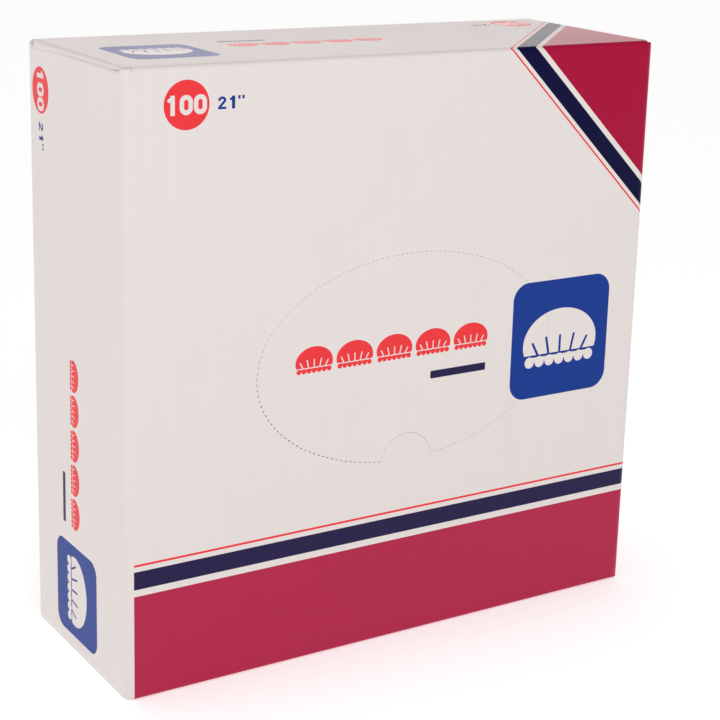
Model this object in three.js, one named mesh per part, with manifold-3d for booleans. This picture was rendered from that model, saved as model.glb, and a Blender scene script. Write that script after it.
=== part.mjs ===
// Dispenser carton for a hundred disposable caps: closed, unopened, standing on its bottom.
// Millimetres, +Z up, front panel towards -Y. The origin is the middle of the underside.
// The carton is one blank of fine-fluted board. Each of its panels and flaps that can move,
// tear or be told apart is a body of its own, a hair's breadth from its neighbour.

import * as THREE from "three";
import { mergeVertices } from "three/addons/utils/BufferGeometryUtils.js";
import Module from "manifold-3d";

const wasm = await Module();
wasm.setup();

// Driving dimensions
const WIDTH = 267;            // outside, side to side
const DEPTH = 97;             // outside, front to back
const HEIGHT = 267;           // outside, underside to lid
const BOARD = 1.5;            // fine-fluted board
const SEAM = 0.3;             // clearance between neighbouring pieces
const FOLD_RADIUS = 4;        // outside radius of the four upright folds

// Oval dispensing window in the front panel, torn out along its perforation
const OVAL = { x: 4, z: 132, halfWidth: 77, halfHeight: 48 };
// Half-moon thumb tongue that stays on the front panel and bites into the oval's lower edge
const THUMB = { x: 3.5, z: 84, radius: 13 };

// Lid and bottom fold off the front panel and reach almost to the faces of the side panels.
// Their creases end at the upright folds, so their front corners are cut back round the folds.
const FLAP_END_INSET = 0.9;
const CREASE_END_INSET = 4.5;
const CORNER_RELIEF = { step: 1.8, depth: 4.7 };
const CORNER_POST_DROP = 0.6; // the front folds stand up this close to the lid's face

// Top closure: the lid folds over from the front panel and tucks in behind the back panel
const LID_BACK_CLEARANCE = 0.6;
const LID_BACK_CORNER = 1;
const TAB_LENGTH = 20;        // how far the tuck tab reaches down
const TAB_LEAN = 2.3;         // the tab leans inwards so that it swings past the back panel
const TAB_END_INSET = 7.5;
const TAB_CORNER = 12;        // rounded lower corners of the tab
const BACK_TOP_DROP = 0.5;    // the back panel's cut edge sits just below the lid's face
const BACK_RIM_END_INSET = 1.2;

// Side flaps under the lid, and the same pair over the bottom
const DUST_FLAP = { length: 62, front: -44, back: 42, taper: 6, corner: 8 };
const BOTTOM_FLAP = { length: 70, front: -44.8, back: 44.5, taper: 0, corner: 5 };
const BOTTOM_PANEL_BACK = { drop: 0.5, corner: 1.5 };

// Glued lap inside the back panel, at its right-hand fold
const GLUE_LAP = { width: 30, foot: 8, head: 26, chamfer: 10 };

// Levels and faces worked out from the above
const LEFT = -WIDTH / 2;
const RIGHT = WIDTH / 2;
const FRONT = -DEPTH / 2;
const BACK = DEPTH / 2;
const WALL_FOOT = BOARD + SEAM;
const WALL_HEAD = HEIGHT - BOARD - SEAM;
const LID_BACK = BACK - BOARD - LID_BACK_CLEARANCE; // the lid ends just inside the back panel

const CURVE_STEPS = 8;        // steps in a quarter of a small round
const OVAL_STEPS = 72;        // steps round the oval window

// Colours as seen under the photograph's light
const COLOURS = {
  printedWhite: { color: 0xe3dbd8, roughness: 0.42, metalness: 0 },
  plainWhite: { color: 0xdfd6d1, roughness: 0.6, metalness: 0 },
  innerBoard: { color: 0xb9a58a, roughness: 0.85, metalness: 0 },
};

function material(finish) {
  return new THREE.MeshStandardMaterial(finish);
}

// Booleans between closed geometries
function toSolid(geometry) {
  const bare = geometry.clone();
  bare.deleteAttribute("normal");
  bare.deleteAttribute("uv");
  const merged = mergeVertices(bare);
  return new wasm.Manifold(new wasm.Mesh({
    numProp: 3,
    vertProperties: new Float32Array(merged.attributes.position.array),
    triVerts: new Uint32Array(merged.index.array),
  }));
}

function toGeometry(solid) {
  const mesh = solid.getMesh();
  const geometry = new THREE.BufferGeometry();
  geometry.setAttribute("position", new THREE.BufferAttribute(mesh.vertProperties, 3));
  geometry.setIndex(new THREE.BufferAttribute(mesh.triVerts, 1));
  geometry.computeVertexNormals();
  return geometry;
}

// A flat outline pushed straight up from z = foot to z = head
function upright(outline, foot, head, steps = CURVE_STEPS) {
  const geometry = new THREE.ExtrudeGeometry(outline, {
    depth: head - foot, bevelEnabled: false, curveSegments: steps,
  });
  return geometry.translate(0, 0, foot);
}

// An outline drawn in x and z, pushed from y = near to y = far
function facingFront(outline, near, far, steps = CURVE_STEPS) {
  const geometry = new THREE.ExtrudeGeometry(outline, {
    depth: far - near, bevelEnabled: false, curveSegments: steps,
  });
  return geometry.rotateX(Math.PI / 2).translate(0, far, 0);
}

// A section drawn in y and z, pushed from x = left to x = right
function acrossWidth(section, left, right) {
  const geometry = new THREE.ExtrudeGeometry(section, {
    depth: right - left, bevelEnabled: false, curveSegments: CURVE_STEPS,
  });
  const turn = new THREE.Matrix4().makeBasis(
    new THREE.Vector3(0, 1, 0), new THREE.Vector3(0, 0, 1), new THREE.Vector3(1, 0, 0));
  return geometry.applyMatrix4(turn).translate(left, 0, 0);
}

// A plain block between two corners
function block(left, right, near, far, foot, head) {
  const geometry = new THREE.BoxGeometry(right - left, far - near, head - foot);
  return geometry.translate((left + right) / 2, (near + far) / 2, (foot + head) / 2);
}

// Closed path of a rectangle with four rounded corners
function roundedRectangle(path, left, right, low, high, radius) {
  path.moveTo(left + radius, low);
  path.lineTo(right - radius, low);
  path.absarc(right - radius, low + radius, radius, -Math.PI / 2, 0, false);
  path.lineTo(right, high - radius);
  path.absarc(right - radius, high - radius, radius, 0, Math.PI / 2, false);
  path.lineTo(left + radius, high);
  path.absarc(left + radius, high - radius, radius, Math.PI / 2, Math.PI, false);
  path.lineTo(left, low + radius);
  path.absarc(left + radius, low + radius, radius, Math.PI, Math.PI * 1.5, false);
  return path;
}

// The oval prism through the front wall, with the thumb tongue left out of it
function ovalPrism(shrink, near, far) {
  const oval = new THREE.Shape();
  oval.absellipse(OVAL.x, OVAL.z, OVAL.halfWidth - shrink, OVAL.halfHeight - shrink, 0, Math.PI * 2);
  const thumb = new THREE.Shape();
  thumb.absarc(THUMB.x, THUMB.z, THUMB.radius + shrink, 0, Math.PI * 2);
  const window = toSolid(facingFront(oval, near, far, OVAL_STEPS));
  const tongue = toSolid(facingFront(thumb, near - BOARD, far + BOARD, CURVE_STEPS * 5));
  return window.subtract(tongue);
}

// Front, sides and back as one folded tube, with the oval window cut through the front. The front
// folds and the back panel's cut edge reach up past the walls that carry the flaps.
function cartonSleeve() {
  const section = roundedRectangle(new THREE.Shape(), LEFT, RIGHT, FRONT, BACK, FOLD_RADIUS);
  section.holes.push(roundedRectangle(new THREE.Path(), LEFT + BOARD, RIGHT - BOARD,
    FRONT + BOARD, BACK - BOARD, FOLD_RADIUS - BOARD));
  const fullTube = toSolid(upright(section, CORNER_POST_DROP, HEIGHT));
  let sleeve = toSolid(upright(section, WALL_FOOT, WALL_HEAD));

  const rimEnd = WIDTH / 2 - BACK_RIM_END_INSET;
  const rim = block(-rimEnd, rimEnd, LID_BACK + SEAM, BACK, WALL_HEAD - BOARD, HEIGHT - BACK_TOP_DROP);
  sleeve = sleeve.add(fullTube.intersect(toSolid(rim)));
  for (const side of [-1, 1]) {
    const [left, right] = [side * RIGHT, side * (RIGHT - FOLD_RADIUS)].sort((a, b) => a - b);
    const corner = block(left, right, FRONT, FRONT + FOLD_RADIUS, 0, HEIGHT - CORNER_POST_DROP);
    sleeve = sleeve.add(fullTube.intersect(toSolid(corner)));
  }
  return toGeometry(sleeve.subtract(ovalPrism(0, FRONT - BOARD, FRONT + 2 * BOARD)));
}

function tearOutPanel() {
  return toGeometry(ovalPrism(SEAM, FRONT, FRONT + BOARD));
}

// Plan outline of a panel that folds off the front, with the corners at its back cut by this much
function frontHungOutline(back, backCorner) {
  const end = RIGHT - FLAP_END_INSET;
  const creaseEnd = RIGHT - CREASE_END_INSET;
  const right = [
    [creaseEnd, FRONT], [creaseEnd, FRONT + CORNER_RELIEF.step], [end, FRONT + CORNER_RELIEF.depth],
    [end, back - backCorner], [end - backCorner, back],
  ];
  const left = right.map(([x, y]) => [-x, y]).reverse();
  return new THREE.Shape([...right, ...left].map(([x, y]) => new THREE.Vector2(x, y)));
}

function lidPanel() {
  const round = BOARD * 0.8;
  const section = new THREE.Shape();
  section.moveTo(FRONT, HEIGHT - BOARD);
  section.lineTo(LID_BACK, HEIGHT - BOARD);
  section.lineTo(LID_BACK, HEIGHT - round);
  section.absarc(LID_BACK - round, HEIGHT - round, round, 0, Math.PI / 2, false);
  section.lineTo(FRONT, HEIGHT);
  const plan = upright(frontHungOutline(LID_BACK, LID_BACK_CORNER), WALL_HEAD, HEIGHT + SEAM);
  return toGeometry(toSolid(acrossWidth(section, LEFT, RIGHT)).intersect(toSolid(plan)));
}

// The tab hangs from the lid's back fold and leans inwards, with rounded lower corners
function tuckTab() {
  const head = HEIGHT - BOARD - SEAM;
  const foot = HEIGHT - TAB_LENGTH;
  const halfWidth = WIDTH / 2 - TAB_END_INSET;
  const outline = new THREE.Shape();
  outline.moveTo(-halfWidth, head);
  outline.lineTo(-halfWidth, foot + TAB_CORNER);
  outline.absarc(-halfWidth + TAB_CORNER, foot + TAB_CORNER, TAB_CORNER, Math.PI, Math.PI * 1.5, false);
  outline.lineTo(halfWidth - TAB_CORNER, foot);
  outline.absarc(halfWidth - TAB_CORNER, foot + TAB_CORNER, TAB_CORNER, -Math.PI / 2, 0, false);
  outline.lineTo(halfWidth, head);
  const tab = facingFront(outline, LID_BACK - BOARD, LID_BACK);
  const lean = new THREE.Matrix4().makeShear(0, 0, 0, 0, 0, TAB_LEAN / TAB_LENGTH);
  return tab.translate(0, 0, -HEIGHT).applyMatrix4(lean).translate(0, 0, HEIGHT);
}

// A flap folded in from a side wall. It starts at the wall's inner face; side is -1 left, 1 right.
function sideFlap(side, flap, foot) {
  const root = RIGHT - BOARD - SEAM;
  const tip = root - flap.length;
  const outline = new THREE.Shape();
  outline.moveTo(side * root, flap.front);
  outline.lineTo(side * root, flap.back);
  outline.lineTo(side * (tip + flap.corner), flap.back - flap.taper);
  outline.lineTo(side * tip, flap.back - flap.taper - flap.corner);
  outline.lineTo(side * tip, flap.front + flap.taper + flap.corner);
  outline.lineTo(side * (tip + flap.corner), flap.front + flap.taper);
  return upright(outline, foot, foot + BOARD);
}

// Outer bottom panel, folded back from the front panel and glued over the two inner flaps
function bottomPanel() {
  const { drop, corner } = BOTTOM_PANEL_BACK;
  return upright(frontHungOutline(BACK - drop, corner), 0, BOARD);
}

// The lap that closes the tube, glued to the inside of the back panel
function glueLap() {
  const right = RIGHT - FOLD_RADIUS;
  const left = right - GLUE_LAP.width;
  const foot = GLUE_LAP.foot;
  const head = HEIGHT - GLUE_LAP.head;
  const outline = new THREE.Shape();
  outline.moveTo(right, foot);
  outline.lineTo(right, head);
  outline.lineTo(left, head - GLUE_LAP.chamfer);
  outline.lineTo(left, foot + GLUE_LAP.chamfer);
  const inner = BACK - BOARD - SEAM;
  return facingFront(outline, inner - BOARD, inner);
}

const carton = new THREE.Group();

function addPiece(name, geometry, finish) {
  const piece = new THREE.Mesh(geometry, material(finish));
  piece.name = name;
  carton.add(piece);
}

addPiece("carton_sleeve", cartonSleeve(), COLOURS.printedWhite);
addPiece("tear_out_panel", tearOutPanel(), COLOURS.printedWhite);
addPiece("top_lid", lidPanel(), COLOURS.printedWhite);
addPiece("tuck_tab", tuckTab(), COLOURS.plainWhite);
addPiece("bottom_panel", bottomPanel(), COLOURS.plainWhite);
addPiece("glue_lap", glueLap(), COLOURS.innerBoard);

for (const [word, side] of [["left", -1], ["right", 1]]) {
  addPiece(`${word}_dust_flap`, sideFlap(side, DUST_FLAP, WALL_HEAD - BOARD), COLOURS.plainWhite);
  addPiece(`${word}_bottom_flap`, sideFlap(side, BOTTOM_FLAP, WALL_FOOT), COLOURS.plainWhite);
}

export default carton;
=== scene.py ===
"""Looks of an upright dispenser carton of disposable caps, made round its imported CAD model.

The file is laid out as a Blender add-on and is run as a script. The carton is one printed blank of
fine-fluted board, so every piece is meshed flat, in the blank's own X and Y, and then folded into
place. The print is worked out in the same X and Y, so it runs over the folds as real print does.
"""
import functools
import math

import bmesh
import bpy
import numpy as np
from bpy.props import FloatProperty, FloatVectorProperty, PointerProperty
from bpy.types import Operator, Panel, PropertyGroup
from mathutils import Matrix, Vector
from mathutils.geometry import delaunay_2d_cdt, intersect_point_line


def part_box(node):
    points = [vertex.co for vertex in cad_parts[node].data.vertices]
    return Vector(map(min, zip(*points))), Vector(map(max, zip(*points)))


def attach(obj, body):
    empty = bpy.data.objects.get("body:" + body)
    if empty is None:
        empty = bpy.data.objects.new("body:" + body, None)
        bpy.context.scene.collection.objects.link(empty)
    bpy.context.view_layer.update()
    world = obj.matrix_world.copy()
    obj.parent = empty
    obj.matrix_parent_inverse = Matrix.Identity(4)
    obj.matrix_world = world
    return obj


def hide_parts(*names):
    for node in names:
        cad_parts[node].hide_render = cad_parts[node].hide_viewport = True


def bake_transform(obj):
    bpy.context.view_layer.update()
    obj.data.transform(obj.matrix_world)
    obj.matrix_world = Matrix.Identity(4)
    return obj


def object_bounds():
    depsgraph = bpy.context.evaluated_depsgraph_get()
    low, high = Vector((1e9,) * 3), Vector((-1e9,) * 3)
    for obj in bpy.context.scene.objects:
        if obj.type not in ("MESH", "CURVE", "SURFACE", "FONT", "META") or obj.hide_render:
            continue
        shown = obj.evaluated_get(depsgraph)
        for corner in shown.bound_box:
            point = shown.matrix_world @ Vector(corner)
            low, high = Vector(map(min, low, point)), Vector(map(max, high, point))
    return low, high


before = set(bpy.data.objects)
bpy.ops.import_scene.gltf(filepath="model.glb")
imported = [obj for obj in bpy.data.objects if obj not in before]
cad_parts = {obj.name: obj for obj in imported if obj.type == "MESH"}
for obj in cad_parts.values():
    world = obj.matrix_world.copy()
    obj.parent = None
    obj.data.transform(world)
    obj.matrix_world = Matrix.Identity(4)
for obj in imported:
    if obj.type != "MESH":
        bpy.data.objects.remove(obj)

bl_info = {
    "name": "Dispenser carton",
    "version": (1, 0, 0),
    "blender": (4, 5, 0),
    "location": "3D View > Sidebar > Carton",
    "description": "Builds the folded board, print and stage of an upright dispenser carton",
    "category": "Object",
}

MM = 0.001

# Places taken from the CAD frame
CAD_LOW, CAD_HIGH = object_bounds()
LEFT, FRONT, BOTTOM = CAD_LOW
RIGHT, BACK, TOP = CAD_HIGH
LID_LOW, LID_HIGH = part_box("top_lid")
TAB_LOW, TAB_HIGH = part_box("tuck_tab")
SLEEVE_LOW, SLEEVE_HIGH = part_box("carton_sleeve")
WINDOW_LOW, WINDOW_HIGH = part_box("tear_out_panel")
BOTTOM_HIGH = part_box("bottom_panel")[1]
DUST_LOW, DUST_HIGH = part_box("left_dust_flap")
INNER_LOW, INNER_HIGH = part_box("left_bottom_flap")
BOARD = LID_HIGH.z - LID_LOW.z

PANEL_SINK = 0.45 * MM
INK_EDGE = 0.12 * MM


def linear(red, green, blue):
    """A colour given as 0 to 255 in sRGB, as linear values."""
    parts = [value / 255 for value in (red, green, blue)]
    return tuple(v / 12.92 if v <= 0.04045 else ((v + 0.055) / 1.055) ** 2.4 for v in parts)


def length_property(name, description, default, low=0.0):
    return FloatProperty(name=name, description=description, default=default, min=low, max=1.0,
                         subtype="DISTANCE", unit="LENGTH", precision=5)


def colour_property(name, description, default):
    return FloatVectorProperty(name=name, description=description, default=default, size=3,
                               min=0.0, max=1.0, subtype="COLOR")


def angle_property(name, description, degrees):
    return FloatProperty(name=name, description=description, default=math.radians(degrees),
                         subtype="ANGLE", unit="ROTATION")


def plain_property(name, description, default):
    return FloatProperty(name=name, description=description, default=default)


class CartonSizes(PropertyGroup):
    """Sizes of the folded board that the CAD solids leave to the looks."""
    fold_radius: length_property("Upright fold", "Outside radius of the four upright folds", 4 * MM)
    crease_radius: length_property("Flap crease", "Outside radius where a flap folds over", 1.7 * MM)
    crease_strip: length_property("Crease strip", "Panel height that bends with each flap", 4 * MM)
    crease_inset: length_property("Crease end", "How far the lid's crease stops short", 4.5 * MM)
    relief: length_property("Corner relief", "How far back the lid's corners are cut", 4.7 * MM)
    slot: length_property("Slot", "Width of the slots at the crease ends and the seam", 0.15 * MM)
    crush_width: length_property("Crushed edge", "Width of board crushed along a die-cut edge", 2.4 * MM)
    crush_depth: length_property("Crush depth", "How far the die crushed the very edge", 1.7 * MM)
    worn_radius: length_property("Worn crease", "Radius of the worn top left crease", 3.7 * MM)
    sag: length_property("Sunk fold", "How far the bottom's side folds bulge down", 1.5 * MM)
    thumb_radius: length_property("Thumb tongue", "Radius of the half-moon tongue", 13 * MM)
    thumb_height: length_property("Thumb height", "Height of the tongue's centre", 84 * MM)
    thumb_side: length_property("Thumb side", "Sideways place of the tongue's centre", 3.5 * MM, -1.0)
    dash_pitch: length_property("Dash pitch", "Spacing of the perforation's cuts", 2.5 * MM)
    dash_cut: length_property("Dash cut", "Length of each perforation cut", 1.2 * MM)
    grid: length_property("Mesh step", "Mesh spacing over flat board", 6 * MM)
    flute_pitch: length_property("Flute pitch", "Spacing of the board's flutes", 3.2 * MM)


class CartonColours(PropertyGroup):
    """Liner and ink colours. The lighter burgundy and navy of the level band and stripe are copies of
    the corner's deeper inks, with painted sheen in them.
    """
    liner: colour_property("Liner", "White coated outer liner", linear(236, 229, 226))
    inner: colour_property("Inner liner", "Plain inner liner", linear(188, 160, 126))
    medium: colour_property("Medium", "Fluted layer seen in a cut edge", linear(198, 174, 146))
    # burgundy: the ink's tone with painted sheen laid in, lighter than the corner field's deep burgundy
    burgundy: colour_property("Burgundy ink", "Ink of the level band", linear(184, 44, 79))
    deep: colour_property("Deep burgundy ink", "Ink of the corner field", linear(173, 11, 59))
    # navy: the ink's tone with painted sheen laid in, lighter than the corner stripe's dark navy; the
    # rules take it too
    navy: colour_property("Navy ink", "Ink of the level stripe and the rules", linear(40, 32, 76))
    night: colour_property("Dark navy ink", "Ink of the corner stripe", linear(2, 2, 57))
    blue: colour_property("Blue ink", "Ink of the badge and the small figures", linear(21, 59, 147))
    red: colour_property("Red ink", "Ink of the round spot and the symbols", linear(244, 61, 66))


class StageSettings(PropertyGroup):
    """The photograph's view and a soft studio."""
    eye: FloatVectorProperty(name="Eye", description="Where the camera stands", size=3,
                             default=(-0.4165, -0.6751, 0.3631), subtype="TRANSLATION", unit="LENGTH")
    azimuth: angle_property("Azimuth", "Direction of view round the carton", -33.23)
    elevation: angle_property("Elevation", "Tilt of the view below level", 14.61)
    roll: angle_property("Roll", "Roll of the view", 1.86)
    lens: plain_property("Lens", "Focal length on a 36 mm sensor", 89.27)
    shift_x: plain_property("Shift X", "Sideways shift", -0.0472)
    shift_y: plain_property("Shift Y", "Upward shift", -0.1082)
    key_power: plain_property("Key light", "Power of the front softbox", 3.5)
    ambient: plain_property("Ambient", "Brightness of the whole surround", 0.40)
    backdrop: plain_property("Backdrop", "Added brightness low behind the carton", 2.4)
    sides: plain_property("Side fill", "Added brightness from both sides", 0.03)
    overhead: plain_property("Overhead", "Added brightness from above", 0.12)
    floor_glow: plain_property("Floor glow", "Light of the floor itself", 0.45)


def sizes():
    return bpy.context.scene.carton_sizes


def colours():
    return bpy.context.scene.carton_colours


# Folding

class FoldPath:
    """A folded section. Its runs all turn left, and the outside of the board is on the right."""

    def __init__(self, start, heading, runs):
        self.runs = []
        place = Vector(start)
        along = 0.0
        for kind, *size in runs:
            self.runs.append((along, kind, size, place.copy(), heading))
            if kind == "straight":
                place += size[0] * Vector((math.cos(heading), math.sin(heading)))
                along += size[0]
            else:
                radius, turn = size
                inward = Vector((-math.sin(heading), math.cos(heading)))
                centre = place + radius * inward
                heading += turn
                place = centre + radius * Vector((math.sin(heading), -math.cos(heading)))
                along += radius * turn
        self.length = along

    def at(self, along, depth):
        """The point that lies so far along the outside and so deep in the board."""
        begin, kind, size, place, heading = max(
            (run for run in self.runs if run[0] <= along + 1e-9), key=lambda run: run[0],
            default=self.runs[0])
        ahead = along - begin
        if kind == "straight":
            outward = Vector((math.sin(heading), -math.cos(heading)))
            return place + ahead * Vector((math.cos(heading), math.sin(heading))) - depth * outward
        radius = size[0]
        turned = heading + ahead / radius
        centre = place + radius * Vector((-math.sin(heading), math.cos(heading)))
        outward = Vector((math.sin(turned), -math.cos(turned)))
        return centre + (radius - depth) * outward

    def outward(self, along):
        """The direction out of the board at that place."""
        return (self.at(along, 0.0) - self.at(along, BOARD)) / BOARD

    def marks(self, step):
        """Where the mesh has its lines: close together in the rounds, and just beside them."""
        round_steps = 8
        found = set()
        for begin, kind, size, _, _ in self.runs:
            if kind == "straight":
                length = size[0]
                count = max(1, round(length / step))
                found.update(begin + length * i / count for i in range(count + 1))
                beside = min(0.4 * MM, length / 4)
                found.update((begin + beside, begin + length - beside))
            else:
                length = size[0] * size[1]
                found.update(begin + length * i / round_steps for i in range(round_steps + 1))
        return merged(found)


def merged(values, apart=0.02 * MM):
    """Sorted values with near repeats dropped."""
    kept = []
    for value in sorted(values):
        if not kept or value - kept[-1] > apart:
            kept.append(value)
    return kept


def even(low, high, step):
    """Values from low to high, about a step apart."""
    count = max(1, round((high - low) / step))
    return [low + (high - low) * i / count for i in range(count + 1)]


# The flat blank: X runs round the sleeve and equals x on the front, Y equals z on the front

class Blank:
    """Where each panel of the carton lies on its flat blank."""

    def __init__(self):
        radius = sizes().fold_radius
        self.half = RIGHT - radius
        self.arc = radius * math.pi / 2
        self.side = BACK - FRONT - 2 * radius
        self.left_crease = -self.half
        self.left_far = -self.half - self.arc - self.side
        self.back_start = self.left_far - self.arc - 2 * self.half + sizes().slot
        self.end = self.half + 2 * self.arc + self.side
        self.fold_y = TOP - sizes().crease_radius * (1 - math.pi / 4)

    def left_x(self, y):
        """X on the blank of a place y on the left-hand panel."""
        return -self.half - self.arc - (y - FRONT - sizes().fold_radius)

    def right_x(self, y):
        return self.half + self.arc + (y - FRONT - sizes().fold_radius)

    def lid_y(self, y):
        """Y on the blank of a place y on the lid."""
        radius = sizes().crease_radius
        return TOP - radius + radius * math.pi / 2 + (y - FRONT - radius)


def settled(point, normal):
    """Board at rest is never dead flat: each panel sinks a little between its folds."""
    x, y, z = point
    across = [math.cos(math.pi * min(1, max(-1, value))) * 0.5 + 0.5 for value in (
        x / (RIGHT - LEFT) * 2, y / (BACK - FRONT) * 2, z / (TOP - BOTTOM) * 2 - 1)]
    faces = [(abs(normal.x), across[1] * across[2]), (abs(normal.y), across[0] * across[2]),
             (abs(normal.z), across[0] * across[1])]
    facing, waviness = 0.7, 0.25
    sink = sum(weight * share for weight, share in faces if weight > facing)
    waves = math.sin(31 * x + 2.1) * math.sin(27 * z + 17 * y)
    ripple = 1 - waviness + waviness * waves
    return point - normal * (PANEL_SINK * sink * ripple)


def eased(value):
    """A smooth step from 0 to 1."""
    value = min(1.0, max(0.0, value))
    return value * value * (3 - 2 * value)


def rolled(blank, x, point, outward, depth):
    """Rolls in the sleeve's free top edges beside the folded flaps, as far as the back folds.

    behind and before say how far a place has gone round a back fold or a front fold, where the
    level at which the roll starts rises from the flaps' top to the sleeve's own.
    """
    turn = 0.35 * blank.arc
    steepest, kept_inside = 1.3, 0.8
    behind = max(eased((blank.left_far - x) / turn), eased((x - blank.end + blank.arc) / turn))
    before = eased((blank.half + blank.arc - abs(x)) / turn)
    level = DUST_HIGH.z + (SLEEVE_HIGH.z - DUST_HIGH.z) * max(before, behind)
    worn = droop_share(point.y) if x < 0 else 0.0
    radius = MM + (sizes().worn_radius - MM) * worn
    over = max(0.0, point.z - level + radius)
    angle = min(over / radius, steepest)
    inward = radius * (1 - math.cos(angle)) * (1 - kept_inside * (1 - worn) * depth / BOARD)
    return point - (outward * inward + Vector((0, 0, over - radius * math.sin(angle)))) * (1 - behind)


# Board meshing

def subdivided(loop, x_marks, y_marks):
    """The loop with a point wherever a long edge crosses one of the mesh's lines."""
    repeated, short, unmoved = 0.001 * MM, 2.5 * MM, 1e-7
    points = []
    for first, second in zip(loop, loop[1:] + loop[:1]):
        step = second - first
        if step.length < repeated:
            continue
        points.append(first)
        if step.length < short:
            continue
        cuts = set()
        for axis, marks in ((0, x_marks), (1, y_marks)):
            if abs(step[axis]) > unmoved:
                cuts.update((mark - first[axis]) / step[axis] for mark in marks)
        apart = 0.02 * MM / step.length
        points.extend(first + step * cut for cut in merged(cuts, apart) if apart < cut < 1 - apart)
    return points


def inside_loop(points, loop):
    """Which of the points lie inside the closed loop."""
    x, y = points[:, :1], points[:, 1:]
    first = np.array([tuple(p) for p in loop])
    second = np.roll(first, -1, axis=0)
    crosses = (first[:, 1] > y) != (second[:, 1] > y)
    rise = np.where(second[:, 1] == first[:, 1], 1.0, second[:, 1] - first[:, 1])
    where = first[:, 0] + (y - first[:, 1]) / rise * (second[:, 0] - first[:, 0])
    return (crosses & (x < where)).sum(axis=1) % 2 == 1


def clear_of_loop(points, loop, gap):
    """Which of the points stay at least gap away from the loop's edges."""
    first = np.array([tuple(p) for p in loop])
    run = np.roll(first, -1, axis=0) - first
    offset = points[:, None, :] - first[None, :, :]
    share = np.clip((offset * run).sum(-1) / (run * run).sum(-1), 0, 1)
    return np.linalg.norm(offset - share[..., None] * run, axis=-1).min(axis=1) > gap


def board_mesh(name, outline, place, x_marks, y_marks, holes=(), gap=0.25 * MM, on_blank=None,
               pressed=None):
    """A sheet of board cut to a flat outline and folded by place(X, Y, depth).

    Its outer skin has material slot 0, its inner skin slot 1 and its cut edges slot 2, or slot 0
    where pressed(spot) says that the die pressed the outer liner over the cut. UV map blank holds
    on_blank(X, Y), or the flat place itself, and UV map cut holds X and the depth into the board.
    """
    hole_gap = 1.0 * MM
    inside_only, tolerance = 1, 1e-5
    outline = subdivided(outline, x_marks, y_marks)
    loops = [outline, *holes]
    lattice = np.array([(x, y) for x in x_marks for y in y_marks])
    keep = inside_loop(lattice, outline) & clear_of_loop(lattice, outline, gap)
    for hole in holes:
        keep &= ~inside_loop(lattice, hole) & clear_of_loop(lattice, hole, hole_gap)
    flat = [Vector(p) / MM for loop in loops for p in loop]
    flat += [Vector(p) / MM for p in lattice[keep]]
    rings, begin = [], 0
    for loop in loops:
        rings.append(list(range(begin, begin + len(loop))))
        begin += len(loop)
    edges = [pair for ring in rings for pair in zip(ring, ring[1:] + ring[:1])]
    found, _, faces, _, _, origins = delaunay_2d_cdt(flat, edges, rings, inside_only, tolerance)
    faces = [face for face, origin in zip(faces, origins) if origin == [0]]

    spots = [Vector(p) * MM for p in found]
    used = sorted({i for face in faces for i in face})
    work = bmesh.new()
    skins = []
    for depth in (0.0, BOARD):
        skins.append({i: work.verts.new(place(spots[i].x, spots[i].y, depth)) for i in used})
    blank_map = work.loops.layers.uv.new("blank")
    cut_map = work.loops.layers.uv.new("cut")

    def add_face(corners, slot):
        face = work.faces.new([skins[side][i] for i, side in corners])
        face.material_index = slot
        face.smooth = True
        for loop, (i, side) in zip(face.loops, corners):
            loop[blank_map].uv = on_blank(*spots[i]) if on_blank else spots[i]
            loop[cut_map].uv = (spots[i].x, side * BOARD)

    border = {}
    for face in faces:
        add_face([(i, 0) for i in face], 0)
        add_face([(i, 1) for i in reversed(face)], 1)
        for i, j in zip(face, [*face[1:], face[0]]):
            border[i, j] = (j, i) not in border
            if not border[i, j]:
                border[j, i] = False
    for (i, j), alone in border.items():
        if alone:
            add_face([(j, 0), (i, 0), (i, 1), (j, 1)], 0 if pressed and pressed(spots[i]) else 2)
    bmesh.ops.recalc_face_normals(work, faces=work.faces)
    mesh = bpy.data.meshes.new(name)
    work.to_mesh(mesh)
    work.free()
    mesh.set_sharp_from_angle(angle=math.radians(35))
    piece = bpy.data.objects.new(name, mesh)
    bpy.context.scene.collection.objects.link(piece)
    return piece


def finish_board(piece, outer):
    """Gives a board piece its three surfaces."""
    for material in (outer, inner_liner("inner_liner"), cut_edge("cut_edge")):
        piece.data.materials.append(material)


def corners(*pairs):
    return [Vector(pair) for pair in pairs]


def both_sides(points):
    """An outline's points on one side, then their mirror images on the way back."""
    return points + [Vector((-p.x, p.y)) for p in reversed(points)]


def rounded_corner(centre, radius, start, end):
    """Points of an arc round centre, with its angles in quarter turns."""
    steps = 10
    angles = [math.pi / 2 * (start + (end - start) * i / steps) for i in range(steps + 1)]
    return [Vector((centre[0] + radius * math.cos(a), centre[1] + radius * math.sin(a))) for a in angles]


# The oval window and its perforation

def window_shape():
    """Centre and half sizes of the oval as cut in the sleeve; the CAD panel is a hair smaller."""
    hair = 0.3 * MM
    centre = Vector(((WINDOW_LOW.x + WINDOW_HIGH.x) / 2, (WINDOW_LOW.z + WINDOW_HIGH.z) / 2))
    half = Vector(((WINDOW_HIGH.x - WINDOW_LOW.x) / 2 + hair, (WINDOW_HIGH.z - WINDOW_LOW.z) / 2 + hair))
    return centre, half


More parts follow.
